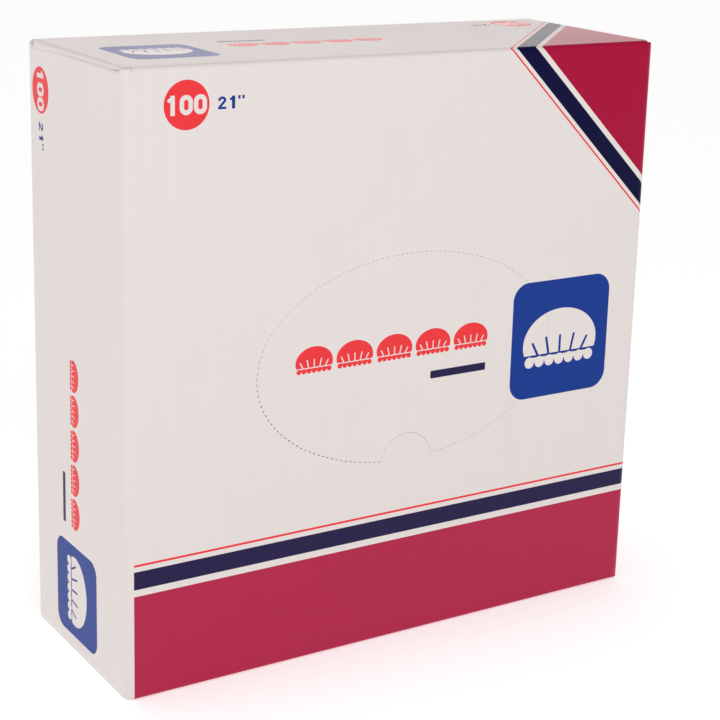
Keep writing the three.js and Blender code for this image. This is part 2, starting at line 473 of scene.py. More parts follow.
def window_walk():
    """Walks the window's outline and gives (point, direction into the panel, on the thumb cut).

    Every end of a perforation cut is one of the points, so that the panel and the sleeve share them.
    """
    centre, half = window_shape()
    thumb = Vector((sizes().thumb_side, sizes().thumb_height))
    radius = sizes().thumb_radius

    def oval(angle):
        return centre + Vector((half.x * math.cos(angle), half.y * math.sin(angle)))

    fine_steps = 4000
    track = [oval(2 * math.pi * i / fine_steps - math.pi / 2) for i in range(fine_steps + 1)]
    free = [i for i, p in enumerate(track) if (p - thumb).length > radius]
    track = track[free[0]:free[-1] + 1]
    walked = [0.0]
    for first, second in zip(track, track[1:]):
        walked.append(walked[-1] + (second - first).length)
    cuts = round(walked[-1] / sizes().dash_pitch)
    pitch = walked[-1] / cuts
    share = sizes().dash_cut / sizes().dash_pitch
    stops = []
    for i in range(cuts):
        stops += [(i + 0.5 - share / 2) * pitch, (i + 0.5 + share / 2) * pitch]
    walk = []
    for stop in [0.0, *stops, walked[-1]]:
        index = min(int(np.searchsorted(walked, stop)), len(track) - 1)
        point = track[index]
        inward = Vector(((centre.x - point.x) / half.x ** 2, (centre.y - point.y) / half.y ** 2))
        walk.append((point, inward.normalized(), False))
    begin = math.atan2(*(track[-1] - thumb).yx)
    end = math.atan2(*(track[0] - thumb).yx)
    steps = 40
    for i in range(1, steps):
        angle = begin + (end - begin) * i / steps
        outward = Vector((math.cos(angle), math.sin(angle)))
        walk.append((thumb + radius * outward, outward, True))
    return walk


def liner_pressed(spot):
    """Whether the outer liner is pressed over the front's cuts: in the badge, and off the window."""
    in_badge = spot.x > PrintPlan.badge[0] - PrintPlan.badge_half
    return in_badge or not WINDOW_LOW.z - MM < spot.y < WINDOW_HIGH.z + MM


def cut_width(point):
    """The die cut deepest at the lower left of the oval, so the cuts gape most there."""
    narrow, extra = 0.19 * MM, 0.2 * MM
    centre, half = window_shape()
    towards = Vector(((point.x - centre.x) / half.x, (point.y - centre.y) / half.y)).normalized()
    lower_left = max(0.0, towards.dot(Vector((-0.78, -0.62))))
    return narrow + extra * lower_left ** 3


# Shader expressions

class Signal:
    """A value, colour or vector in a material's nodes; sums and products of values add Math nodes."""

    def __init__(self, surface, socket):
        self.surface = surface
        self.socket = socket

    def math(self, operation, *others, clamp=False):
        return self.surface.value("ShaderNodeMath", {"operation": operation, "use_clamp": clamp},
                                  dict(enumerate((self, *others))))

    def __add__(self, other):
        return self.math("ADD", other)

    def __sub__(self, other):
        return self.math("SUBTRACT", other)

    def __rsub__(self, other):
        return self.surface.value("ShaderNodeMath", {"operation": "SUBTRACT"}, {0: other, 1: self})

    def __mul__(self, other):
        return self.math("MULTIPLY", other)

    def __pow__(self, other):
        return self.math("POWER", other)

    def __neg__(self):
        return self.math("MULTIPLY", -1.0)

    def __abs__(self):
        return self.math("ABSOLUTE")

    def least(self, other):
        return self.math("MINIMUM", other)

    def most(self, other):
        return self.math("MAXIMUM", other)

    def held(self):
        """The value kept between 0 and 1."""
        return self.math("ADD", 0.0, clamp=True)


class Shading:
    """A node tree under construction, with one way of adding any node."""

    def __init__(self, tree):
        self.tree = tree
        self.tree.nodes.clear()

    def node(self, kind, settings=None, inputs=None):
        """A node of this type, with its settings made first and its sockets then filled or linked."""
        made = self.tree.nodes.new(kind)
        for key, value in (settings or {}).items():
            setattr(made, key, value)
        for key, value in (inputs or {}).items():
            if isinstance(value, Signal):
                self.tree.links.new(value.socket, made.inputs[key])
            else:
                made.inputs[key].default_value = value
        return made

    def value(self, kind, settings=None, inputs=None, output=0):
        """What a new node of this type gives out."""
        return Signal(self, self.node(kind, settings, inputs).outputs[output])

    def shaded(self, colour, level):
        """A colour made lighter or darker by a value."""
        grey = self.value("ShaderNodeCombineXYZ", {}, {0: level, 1: level, 2: level})
        return self.value("ShaderNodeVectorMath", {"operation": "MULTIPLY"}, {
            0: colour if isinstance(colour, Signal) else colour[:3], 1: grey})


class Surface(Shading):
    """A material under construction."""

    def __init__(self, name):
        self.material = bpy.data.materials.new(name)
        self.material.use_nodes = True
        super().__init__(self.material.node_tree)

    def map(self, name):
        """X and Y of a UV map, in metres."""
        split = self.node("ShaderNodeSeparateXYZ", {}, {
            0: self.value("ShaderNodeUVMap", {"uv_map": name})})
        return Signal(self, split.outputs[0]), Signal(self, split.outputs[1])

    def noise(self, x, y, per_metre, detail=3.0, roughness=0.5, stretch=1.0, offset=0.0):
        """Noise over the flat blank; stretch draws it out along Y."""
        place = self.value("ShaderNodeCombineXYZ", {}, {0: x, 1: y * (1.0 / stretch), 2: offset})
        return self.value("ShaderNodeTexNoise", {"noise_dimensions": "3D"}, {
            "Vector": place, "Scale": per_metre, "Detail": detail, "Roughness": roughness})

    def mixed(self, share, first, second):
        """The first colour where share is 0 and the second where it is 1."""
        return self.value("ShaderNodeMix", {"data_type": "RGBA"}, {0: share, 6: first, 7: second}, 2)

    def finish(self, colour, roughness, height, bump_distance, bump_strength, gloss):
        """Joins the colour, roughness and relief to the shader and gives the material."""
        bump = self.value("ShaderNodeBump", {}, {
            "Height": height, "Distance": bump_distance, "Strength": bump_strength})
        self.show(self.value("ShaderNodeBsdfPrincipled", {}, {
            "Base Color": colour, "Roughness": roughness, "Specular IOR Level": gloss,
            "Normal": bump}))
        return self.material

    def show(self, shader):
        self.node("ShaderNodeOutputMaterial", {}, {"Surface": shader})


def paint(colour):
    return (*colour, 1.0)


def ink(name):
    """One of the carton's own colours, as a socket takes it."""
    return paint(getattr(colours(), name))


# Print, worked out on the flat blank

def filled(distance):
    """1 inside a shape, 0 outside, from its signed distance, with a soft edge of ink."""
    return (0.5 - distance * (1.0 / INK_EDGE)).held()


def length_of(x, y):
    return (x * x + y * y).math("SQRT")


def disc(x, y, radius):
    return length_of(x, y) - radius


def rounded_box(x, y, half_x, half_y, radius):
    out_x = abs(x) - (half_x - radius)
    out_y = abs(y) - (half_y - radius)
    outside = length_of(out_x.most(0.0), out_y.most(0.0))
    return outside + out_x.most(out_y).least(0.0) - radius


def segment(x, y, start, end, half_width):
    """A straight stroke with round ends."""
    run = (end[0] - start[0], end[1] - start[1])
    from_x, from_y = x - start[0], y - start[1]
    share = ((from_x * run[0] + from_y * run[1]) * (1 / (run[0] ** 2 + run[1] ** 2))).held()
    return length_of(from_x - share * run[0], from_y - share * run[1]) - half_width


def scaled(size, *points):
    return [(a * size, b * size) for a, b in points]


def cap_symbol(x, y, size):
    """A plain gathered cap of this half width: a puffed crown with pleats over a ruffled edge."""
    side = abs(x)
    crown = (length_of(x, (y + 0.12 * size) * 1.3) - size) * 0.8
    crown = crown.most(-(y + 0.34 * size))
    pleat = segment(x, y, *scaled(size, (0, -0.34), (0, 0.02)), 0.03 * size)
    for ends in (((0.3, -0.34), (0.38, 0.02)), ((0.6, -0.34), (0.74, -0.08))):
        pleat = pleat.least(segment(side, y, *scaled(size, *ends), 0.03 * size))
    pitch = 0.27 * size
    scallop = (x + pitch / 2).math("FLOORED_MODULO", pitch) - pitch / 2
    ruffle = disc(scallop, y + 0.5 * size, 0.125 * size).most(side - 0.94 * size)
    band = rounded_box(x, y + 0.45 * size, 0.9 * size, 0.055 * size, 0.02 * size)
    return crown.most(-pleat).least(ruffle.least(band))


def figure_one(x, y, height):
    stem = rounded_box(x, y, 0.12 * height, 0.5 * height, 0.01 * height)
    flag = segment(x, y, *scaled(height, (-0.02, 0.36), (-0.19, 0.25)), 0.095 * height)
    return stem.least(flag)


def figure_nought(x, y, height):
    stroke = 0.12 * height
    middle = 0.36 * height - stroke
    return abs(rounded_box(x, y, middle, 0.5 * height - stroke, middle)) - stroke


def figure_two(x, y, height):
    stroke = 0.095 * height
    bow = abs(disc(x, y - 0.19 * height, 0.2 * height)) - stroke
    bow = bow.most(0.15 * height - y)
    slope = segment(x, y, *scaled(height, (0.17, 0.11), (-0.2, -0.36)), stroke)
    base = rounded_box(x, y + 0.41 * height, 0.3 * height, 0.09 * height, 0.01 * height)
    return bow.least(slope).least(base)


def inch_mark(x, y, height):
    half_wide, half_high = 0.085 * height, 0.14 * height
    return rounded_box(abs(x) - 0.15 * height, y - 0.37 * height, half_wide, half_high, 0.03 * height)


class PrintPlan:
    """Sizes and places of the print on the blank.

    The level band, stripe and hairline are heights; the corner field, stripe and hairline are
    distances from the front's top right corner.
    """
    band_top = 47 * MM
    stripe = (50 * MM, 58 * MM)
    hairline = (60.2 * MM, 61.2 * MM)
    corner_field = 64 * MM
    corner_stripe = (67.5 * MM, 78 * MM)
    corner_hairline = (80.4 * MM, 81.5 * MM)
    badge_half, lid_badge_half = 28 * MM, 20 * MM
    # Middles of the figures: x and z on the front, z and y on the left, x and y on the lid
    row, badge, spot = (-4.3 * MM, 138 * MM), (87.6 * MM, 130.9 * MM), (-105.8 * MM, 251.1 * MM)
    left_row, left_badge, left_spot = (97 * MM, 3 * MM), (29 * MM, 2.4 * MM), (246.8 * MM, 33.8 * MM)
    lid_row, lid_badge, lid_spot = (-23.3 * MM, 0), (-99 * MM, -9.5 * MM), (108 * MM, 28.6 * MM)
    # The left-hand row and badge and the lid's row are smaller, and the left spot is flatter
    shrink = 1 / 0.77
    left_flat = 1.13


def between(value, low_high):
    """1 where the value lies between two limits."""
    low, high = low_high
    middle, half = (low + high) / 2, (high - low) / 2
    return filled(abs(value - middle) - half)


def choose(share, first, second):
    """The first value where share is 0 and the second where it is 1."""
    return first + share * (second - first)


# Materials

def made_once(make):
    """Gives the material of that name if it is already there, and makes it otherwise."""
    def found_or_made(name, *rest):
        return bpy.data.materials.get(name) or make(name, *rest)
    return found_or_made


def flute_wave(x):
    return (x * (2 * math.pi / sizes().flute_pitch)).math("SINE")


def relief(surface, x, y):
    """Faint washboard from the flutes under the liner, with the paper's own fine tooth."""
    strength = surface.noise(x, y, 22.0, detail=1.0, stretch=4.0) * 0.9
    tooth = surface.noise(x, y, 2600.0, detail=2.0, roughness=0.6)
    waves = surface.noise(x, y, 90.0, detail=2.0, stretch=2.5, offset=3.0)
    return flute_wave(x) * strength * 0.35 + tooth * 0.22 + waves * 0.8


@made_once
def printed_liner(name, art):
    """Satin white liner; art(X, Y) gives (mask, colour) pairs laid on in order."""
    surface = Surface(name)
    x, y = surface.map("blank")
    mottle = surface.noise(x, y, 38.0, detail=4.0)
    grain = surface.noise(x, y, 1500.0, detail=2.0)
    streaks = surface.noise(x, y, 300.0, detail=1.0, stretch=60.0, offset=5.0)
    level = mottle * 0.03 + grain * 0.03 + streaks * 0.025 + 0.957
    specks = (surface.noise(x, y, 420.0, detail=1.0, offset=7.0) - 0.78) * 12.0
    colour = surface.mixed(specks.held() * 0.12, ink("liner"), paint(linear(150, 138, 128)))
    layers = art(x, y)
    for mask, layer_colour in layers:
        colour = surface.mixed(mask, colour, layer_colour)
    inked = functools.reduce(Signal.most, (mask for mask, _ in layers))
    colour = surface.shaded(colour, level)
    roughness = mottle * 0.08 + grain * 0.04 + 0.31 - inked * 0.06
    height = relief(surface, x, y)
    return surface.finish(colour, roughness, height, 0.02 * MM, 0.55, gloss=0.1)


@made_once
def inner_liner(name):
    """Unbleached inner liner with short fibres."""
    surface = Surface(name)
    x, y = surface.map("blank")
    fibres = surface.noise(x, y, 900.0, detail=4.0, roughness=0.65, stretch=3.0)
    clouds = surface.noise(x, y, 45.0, detail=3.0, offset=2.0)
    level = fibres * 0.22 + clouds * 0.14 + 0.82
    colour = surface.shaded(ink("inner"), level)
    height = flute_wave(x) * 0.9 + fibres * 0.5
    return surface.finish(colour, clouds * 0.08 + 0.80, height, 0.03 * MM, 0.8, gloss=0.3)


@made_once
def cut_edge(name):
    """Cut board: two liners with the waved medium between them, and shade in the hollows."""
    surface = Surface(name)
    x, depth = surface.map("cut")
    liner, half_medium = 0.2 * MM, 0.13 * MM
    wave = flute_wave(x) * (BOARD / 2 - liner) + BOARD / 2
    medium = filled(abs(depth - wave) - half_medium)
    outer = filled(depth - liner)
    inner = filled((BOARD - liner) - depth)
    paper = medium.most(outer).most(inner)
    grain = surface.noise(x, depth, 2400.0, detail=2.0)
    brown = surface.mixed(outer, ink("medium"), ink("liner"))
    dark = paint(tuple(0.5 * part for part in colours().medium))
    colour = surface.shaded(surface.mixed(paper, dark, brown), grain * 0.2 + 0.88)
    return surface.finish(colour, grain * 0.1 + 0.78, paper + grain * 0.2, 0.05 * MM, 0.7, gloss=0.25)


def badge_art(s, t, half):
    """A blue badge with a white cap symbol, centred where s and t are 0."""
    badge = filled(rounded_box(s, t, half, half, 0.3 * half))
    white = filled(cap_symbol(s, t, half * 0.76))
    return [(badge, ink("blue")), (white, ink("liner"))]


def symbol_row(s, t):
    """Five small red cap symbols over a navy rule; s and t are 0 at the row's middle."""
    count, pitch, size = 5, 20.4 * MM, 9.3 * MM
    span = count * pitch
    cell = (s + span / 2).math("FLOORED_MODULO", pitch) - pitch / 2
    row = filled(cap_symbol(cell, t, size)) * filled(abs(s) - span / 2)
    # The rule takes the lighter navy, which holds painted sheen.
    rule = filled(rounded_box(s - 34.5 * MM, t + 15.5 * MM, 15 * MM, 1.8 * MM, 0.6 * MM))
    return [(row, ink("red")), (rule, ink("navy"))]


def spot_art(s, t):
    """A red spot with a plain count in white, and a plain size in blue beside it."""
    count = figure_one(s + 6.1 * MM, t, 8 * MM).least(figure_nought(s + 0.2 * MM, t, 8 * MM))
    count = count.least(figure_nought(s - 6.0 * MM, t, 8 * MM))
    beside, high = (s - 13.4 * MM) * 0.85, 5.2 * MM
    size = figure_two(beside - 1.9 * MM, t, high).least(figure_one(beside - 6.2 * MM, t, high))
    size = size.least(inch_mark(beside - 9.2 * MM, t, high))
    return [(filled(disc(s, t, 10 * MM)), ink("red")),
            (filled(count), ink("liner")), (filled(size), ink("blue"))]


def sleeve_art(x, y):
    """The print that runs round the front, the sides and the back."""
    blank = Blank()
    plan = PrintPlan
    # The level band starts at the front's left crease and runs on round the right side and the back
    wraps = filled(blank.left_crease - x).most(filled(x - (blank.left_far - blank.arc)))
    on_corner = filled(blank.left_crease - x)
    to_corner = corner_distance(blank, x, y)
    band = filled(y - plan.band_top) * wraps
    field = filled(to_corner - plan.corner_field) * on_corner
    stripe = between(y, plan.stripe) * wraps
    corner_stripe = between(to_corner, plan.corner_stripe) * on_corner
    hair = (between(y, plan.hairline) * wraps).most(between(to_corner, plan.corner_hairline) * on_corner)
    # The band and the level stripe take the lighter inks, which hold painted sheen; the corner field and
    # corner stripe take the deeper inks.
    masks = [(band, ink("burgundy")), (field, ink("deep")),
             (stripe, ink("navy")), (corner_stripe, ink("night")),
             (hair, ink("red"))]
    on_left = filled(x - (blank.left_crease - blank.arc / 2))

    def figure(front, left, shrink_s, shrink_t):
        """X and Y from a figure's middle; on the left-hand panel it lies a quarter turn round."""
        return (choose(on_left, x - front[0], (y - left[0]) * -shrink_s),
                choose(on_left, y - front[1], (x - blank.left_x(left[1])) * shrink_t))

    masks += symbol_row(*figure(plan.row, plan.left_row, plan.shrink, plan.shrink))
    masks += badge_art(*figure(plan.badge, plan.left_badge, plan.shrink, plan.shrink), plan.badge_half)
    masks += spot_art(*figure(plan.spot, plan.left_spot, 1, plan.left_flat))
    return masks


def flap_art(x, y):
    """The sides' print runs a little way past their top and bottom creases."""
    past = 2 * MM
    printed = between(y, (INNER_LOW.z - past, DUST_HIGH.z + past))
    return [(mask * printed, colour) for mask, colour in sleeve_art(x, y)]


def corner_distance(blank, x, y):
    """Distance over the board from the front's top right corner, measured along X and Y."""
    return abs(x - (blank.half + blank.arc / 2)) + abs(y - blank.fold_y)


def lid_art(x, y):
    """The corner field folded over onto the lid, with the lid's own figures."""
    blank = Blank()
    plan = PrintPlan
    to_corner = corner_distance(blank, x, y)
    masks = [(filled(to_corner - plan.corner_field), ink("deep")),
             (between(to_corner, plan.corner_stripe), ink("night")),
             (between(to_corner, plan.corner_hairline), ink("red"))]

    def figure(middle, shrink=1):
        """X and Y from a figure's middle, half a turn round, because the lid reads from the back."""
        return (x - middle[0]) * -shrink, (y - blank.lid_y(middle[1])) * -shrink

    masks += symbol_row(*figure(plan.lid_row, plan.shrink))
    masks += badge_art(*figure(plan.lid_badge), plan.lid_badge_half)
    masks += spot_art(*figure(plan.lid_spot))
    return masks


# Pieces

def sleeve_path():
    """The sleeve's section seen from above, from the seam beside the back right fold all round."""
    blank = Blank()
    radius = sizes().fold_radius
    quarter = ("round", radius, math.pi / 2)
    start = (blank.half - sizes().slot, BACK)
    back = 2 * blank.half - sizes().slot
    return FoldPath(start, math.pi, [
        ("straight", back), quarter, ("straight", blank.side), quarter,
        ("straight", 2 * blank.half), quarter, ("straight", blank.side), quarter])


def sleeve_outline():
    """The sleeve's flat outline: steps where flaps fold off its ends, and slits where creases end."""
    blank = Blank()
    strip = sizes().crease_strip
    slot = sizes().slot
    crease_end = RIGHT - sizes().crease_inset
    head, rim, post = DUST_HIGH.z, SLEEVE_HIGH.z, SLEEVE_HIGH.z - 0.1 * MM
    foot, post_foot = INNER_LOW.z, SLEEVE_LOW.z
    slit_end, slit_tip = 2.2 * MM, 2.6 * MM
    past_slit, fold_end = crease_end + 1.5 * slot, blank.half + blank.arc
    upper = both_sides(corners(
        (blank.right_x(DUST_HIGH.y), head), (blank.right_x(DUST_HIGH.y), head - strip),
        (blank.right_x(DUST_LOW.y), head - strip), (blank.right_x(DUST_LOW.y), head),
        (fold_end, head), (fold_end - 0.6 * MM, post - 0.2 * MM), (past_slit, post),
        (crease_end + slot, TOP - slit_end), (crease_end, TOP - slit_tip),
        (crease_end, head - strip)))
    lower = both_sides(corners(
        (blank.left_x(INNER_HIGH.y), foot), (blank.left_x(INNER_HIGH.y), foot + strip),
        (blank.left_x(INNER_LOW.y), foot + strip), (blank.left_x(INNER_LOW.y), foot),
        (-fold_end, foot), (-blank.half - blank.arc / 2, post_foot), (-past_slit, post_foot),
        (-crease_end - slot, BOTTOM + slit_end), (-crease_end, BOTTOM + slit_tip),
        (-crease_end, foot + strip)))
    right_back = corners((blank.end, rim), (blank.end - blank.arc + 0.8 * MM, rim),
                         (blank.end - blank.arc, head))
    left_back = corners((blank.left_far - 0.25 * blank.arc, head),
                        (blank.left_far - 0.85 * blank.arc, rim), (blank.back_start, rim),
                        (blank.back_start, foot))
    return right_back + upper + left_back + lower + corners((blank.end, foot))


class CARTON_OT_sleeve(Operator):
    """Fold the printed sleeve: front with its window, sides and back"""
    bl_idname = "carton.sleeve"
    bl_label = "Sleeve"

    def execute(self, context):
        blank = Blank()
        path = sleeve_path()

        def place(x, y, depth):
            flat = path.at(x - blank.back_start, depth)
            outward = path.outward(x - blank.back_start).to_3d()
            point = settled(Vector((flat.x, flat.y, y)), outward)
            return rolled(blank, x, point, outward, depth)

        def pressed(spot):
            return spot.x > blank.left_far - blank.arc and liner_pressed(spot)

        hole = [point for point, _, _ in window_walk()]
        levels = merged([*even(SLEEVE_LOW.z, SLEEVE_HIGH.z, sizes().grid),
                         *even(DUST_HIGH.z - sizes().worn_radius, SLEEVE_HIGH.z - 0.4 * MM, 0.6 * MM)])
        marks = [blank.back_start + along for along in path.marks(sizes().grid)]
        piece = board_mesh("sleeve_board", sleeve_outline(), place, marks, levels, holes=[hole],
                           pressed=pressed)
        finish_board(piece, printed_liner("printed_sleeve", sleeve_art))
        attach(piece, "box")
        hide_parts("carton_sleeve")
        return {"FINISHED"}


class CARTON_OT_window_panel(Operator):
    """Cut the tear-out panel, held in the sleeve by the ties of its perforation"""
    bl_idname = "carton.window_panel"
    bl_label = "Tear-out panel"

    def execute(self, context):
        walk = window_walk()
        thumb_gap, lead_share = 0.13 * MM, 0.12
        edge = []
        for index, (point, inward, on_thumb) in enumerate(walk):
            if on_thumb:
                edge.append(point + inward * thumb_gap)
                continue
            edge.append(point)
            cut_begins = index % 2 == 1 and not walk[(index + 1) % len(walk)][2]
            if cut_begins and 0 < index < len(walk) - 1:
                width = cut_width(point)
                after, after_inward, _ = walk[index + 1]
                lead = (after - point) * lead_share
                edge.append(point + lead + inward * width)
                edge.append(after - lead + after_inward * width)

        def place(x, y, depth):
            return settled(Vector((x, FRONT + depth, y)), Vector((0, -1, 0)))

        x_marks = even(WINDOW_LOW.x, WINDOW_HIGH.x, sizes().grid)
        y_marks = even(WINDOW_LOW.z, WINDOW_HIGH.z, sizes().grid)
        piece = board_mesh("window_board", edge, place, x_marks, y_marks, gap=1.0 * MM,
                           pressed=liner_pressed)
        finish_board(piece, printed_liner("printed_sleeve", sleeve_art))
        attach(piece, "box")
        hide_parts("tear_out_panel")
        return {"FINISHED"}


def lid_path():
    """Up the front's top strip, over the lid and down the tab, in the plane of z and y."""
    radius = sizes().crease_radius
    strip = sizes().crease_strip
    start = DUST_HIGH.z - strip
    lean = math.atan2(LID_HIGH.y - TAB_HIGH.y + (TAB_HIGH.y - TAB_LOW.y - BOARD), TAB_HIGH.z - TAB_LOW.z)
    lid_run = LID_HIGH.y - FRONT - 2 * radius
    tab_run = (TOP - TAB_LOW.z - radius) / math.cos(lean) - radius * math.sin(lean)
    return start, FoldPath((start, FRONT), 0.0, [
        ("straight", TOP - radius - start), ("round", radius, math.pi / 2), ("straight", lid_run),
        ("round", radius, math.pi / 2 + lean), ("straight", tab_run)])


def front_hung_corner(start, crease_done):
    """The right-hand edge of a flap hung from the front, from its strip to past its corner relief."""
    crease_end = RIGHT - sizes().crease_inset
    turned = crease_done - sizes().crease_radius
    fold = sizes().fold_radius
    inside = rounded_corner((RIGHT - fold, turned + fold), fold - BOARD - 0.3 * MM, -1.1, 0)
    return corners((crease_end, start)) + inside + corners((LID_HIGH.x, turned + sizes().relief))


def crushed(x, y, path, share):
    """How far the outer skin is pressed in at a place near the die-cut edge that runs along path."""
    width = sizes().crush_width
    place = Vector((abs(x), y))
    away = width
    for first, second in zip(path, path[1:]):
        nearest, along = intersect_point_line(place, first, second)
        nearest = first.lerp(second, min(1.0, max(0.0, along)))
        away = min(away, (place - nearest).length)
    over = 1 - away / width
    return share * sizes().crush_depth * (1 - math.sqrt(1 - over * over))


def droop(point):
    """How far the lid's left end has been pressed down towards its back corner."""
    worn, steepest = sizes().worn_radius, 0.8
    over = min(max(LEFT + worn - point.x, 0.0), steepest * worn)
    return droop_share(point.y) * (worn - math.sqrt(worn * worn - over * over))


def droop_share(y):
    """How worn the left end is: not at all in front of the middle, and fully towards the back."""
    worn_from, worn_over = 4 * MM, 36 * MM
    return eased((y - worn_from) / worn_over)


def tucked_corner(fold_begin):
    """The lid's edge where it turns down just inside the sleeve's upright back fold."""
    fold, radius = sizes().fold_radius, sizes().crease_radius
    reach = fold - BOARD - 0.1 * MM
    points = []
    for angle in (0, math.pi / 6, math.pi / 3, math.pi / 2):
        past = LID_HIGH.y - radius + radius * math.sin(angle) - (BACK - fold)
        across = RIGHT - fold + math.sqrt(reach ** 2 - past ** 2)
        points.append(Vector((across, fold_begin + radius * angle)))
    return points


class CARTON_OT_lid(Operator):
    """Fold the lid from the front panel's top edge, with its tuck tab"""
    bl_idname = "carton.lid"
    bl_label = "Lid"

    def execute(self, context):
        start, path = lid_path()
        half, tab_half = LID_HIGH.x, TAB_HIGH.x
        corner = 12 * MM
        lid_begin = start + path.runs[2][0]
        fold_begin = start + path.runs[3][0]
        tip = start + path.length
        right = front_hung_corner(start, lid_begin) + corners(
            (half, fold_begin - 2.2 * MM), (half - 0.7 * MM, fold_begin - 0.7 * MM))
        cut_side = right[1:]
        right += tucked_corner(fold_begin) + corners(
            (tab_half + 1.5 * MM, fold_begin + 3.4 * MM), (tab_half, fold_begin + 5 * MM))
        right += rounded_corner((tab_half - corner, tip - corner), corner, 0, 1)
        outline = both_sides(right)
        fade, spared_beside, spared_inside = 5 * MM, 0.55, 0.73

        def place(x, y, depth):
            # The crush fades to nothing at the creases, and is lighter beside the upright folds
            flatness = max(0.0, min(1.0, (y - lid_begin) / MM, (fold_begin - y) / MM))
            beside_posts = 1 - eased((y - lid_begin - sizes().relief) / fade) * eased(
                (fold_begin - y) / fade)
            crush = crushed(x, y, cut_side, flatness * (1 - spared_beside * beside_posts))
            flat = path.at(y - start, depth + crush * (1 - spared_inside * depth / BOARD))
            outward = path.outward(y - start)
            point = settled(Vector((x, flat.y, flat.x)), Vector((0, outward.y, outward.x)))
            return point - Vector((0, 0, droop(point)))

        fine = even(0.35 * MM, 6 * MM, 0.45 * MM)
        x_marks = merged([*even(-half, half, sizes().grid), *(half - step for step in fine),
                          *(step - half for step in fine)])
        y_marks = merged([*(start + along for along in path.marks(sizes().grid)),
                          *even(lid_begin + MM, lid_begin + 8 * MM, 0.9 * MM),
                          *even(fold_begin - 6 * MM, fold_begin - MM, 0.9 * MM)])
        piece = board_mesh("lid_board", outline, place, x_marks, y_marks,
                           pressed=lambda spot: spot.y < fold_begin)
        finish_board(piece, printed_liner("printed_lid", lid_art))
        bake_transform(piece)
        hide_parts("top_lid", "tuck_tab")
        return {"FINISHED"}


def inward_path(start, strip, radius, reach):
    """Up a side panel's strip, round the crease and on inwards, in the plane of z and x."""
    return FoldPath((start, LEFT), 0.0, [
        ("straight", strip - radius), ("round", radius, math.pi / 2),
        ("straight", reach - LEFT - radius)])


def side_flap(name, side, level, rising, reach, front, back, taper, corner, worn=None, sag=0.0):
    """A flap folded inwards off a side panel, with the strip of panel that bends with it.

    side is -1 for left and 1 for right; rising is 1 at the carton's top and -1 at its bottom. A
    worn radius rounds the crease more and more towards the back, and sag makes it bulge outwards.
    """
    radius = sizes().crease_radius
    strip = sizes().crease_strip
    start = rising * level - strip
    path = inward_path(start, strip, radius, reach)
    worn_path = inward_path(start, strip, worn or radius, reach)
    tip = path.length
    turned = path.runs[2][0]
    bulge_end = 8 * MM
    outline = corners((front, 0), (back, 0), (back, strip + radius))
    outline += rounded_corner((back - taper - corner, tip - corner), corner, 0, 1)
    outline += rounded_corner((front + taper + corner, tip - corner), corner, 1, 2)
    outline += corners((front, strip + radius))

    def place(across, along, depth):
        share = droop_share(across) if worn else 0.0
        flat = path.at(along, depth).lerp(worn_path.at(along, depth), share)
        outward = path.outward(along)
        bulge = sag * eased(along / (strip - radius)) * (1 - eased((along - turned) / bulge_end))
        point = Vector((flat.y * -side, across, (flat.x + bulge) * rising))
        return settled(point, Vector((outward.y * -side, 0, outward.x * rising)))

    blank = Blank()

    def on_blank(across, along):
        return (blank.right_x if side > 0 else blank.left_x)(across), rising * (start + along)

    marks = even(front, back, sizes().grid)
    along_marks = merged([*path.marks(sizes().grid), *worn_path.marks(sizes().grid)])
    return board_mesh(name, outline, place, marks, along_marks, on_blank=on_blank)


class CARTON_OT_dust_flaps(Operator):
    """Fold the two side flaps that lie under the lid"""
    bl_idname = "carton.dust_flaps"
    bl_label = "Dust flaps"

    def execute(self, context):
        outer = printed_liner("printed_flap", flap_art)
        for word, side in (("left", -1), ("right", 1)):
            piece = side_flap(f"{word}_dust_board", side, DUST_HIGH.z, 1, DUST_HIGH.x,
                              DUST_LOW.y, DUST_HIGH.y, taper=6 * MM, corner=8 * MM,
                              worn=sizes().worn_radius if side < 0 else None)
            finish_board(piece, outer)
            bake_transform(piece)
            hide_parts(f"{word}_dust_flap")
        return {"FINISHED"}


class CARTON_OT_bottom(Operator):
    """Fold and glue the bottom: two inner flaps under the front's closing panel"""
    bl_idname = "carton.bottom"
    bl_label = "Bottom"

    def execute(self, context):
        outer = printed_liner("printed_flap", flap_art)
        radius = sizes().crease_radius
        strip = sizes().crease_strip
        start = -(INNER_LOW.z + strip)
        path = FoldPath((start, FRONT), 0.0, [
            ("straight", -start - radius), ("round", radius, math.pi / 2),
            ("straight", BOTTOM_HIGH.y - FRONT - radius)])
        half, tip = BOTTOM_HIGH.x, path.length
        right = front_hung_corner(0, path.runs[2][0])
        right += corners((half, tip - BOARD), (half - BOARD, tip))
        outline = both_sides(right)

        def place(x, along, depth):
            flat = path.at(along, depth)
            outward = path.outward(along)
            return settled(Vector((x, flat.y, -flat.x)), Vector((0, outward.y, -outward.x)))

        marks = even(-half, half, sizes().grid)
        piece = board_mesh("bottom_board", outline, place, marks, path.marks(sizes().grid))
        finish_board(piece, printed_liner("printed_bottom", bottom_art))
        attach(piece, "box")
        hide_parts("bottom_panel")
        for word, side in (("left", -1), ("right", 1)):
            piece = side_flap(f"{word}_bottom_board", side, INNER_LOW.z, -1, INNER_HIGH.x,
                              INNER_LOW.y, INNER_HIGH.y, taper=0.0, corner=5 * MM,
                              sag=sizes().sag)
            finish_board(piece, outer)
            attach(piece, "box")
            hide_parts(f"{word}_bottom_flap")
        return {"FINISHED"}


def bottom_art(x, y):
    """The front's burgundy band runs over the bottom fold and stops just past it."""
    past_fold = 4 * MM
    # The band's lighter burgundy, with painted sheen in it.
    return [(filled(y - sizes().crease_strip - INNER_LOW.z - past_fold), ink("burgundy"))]


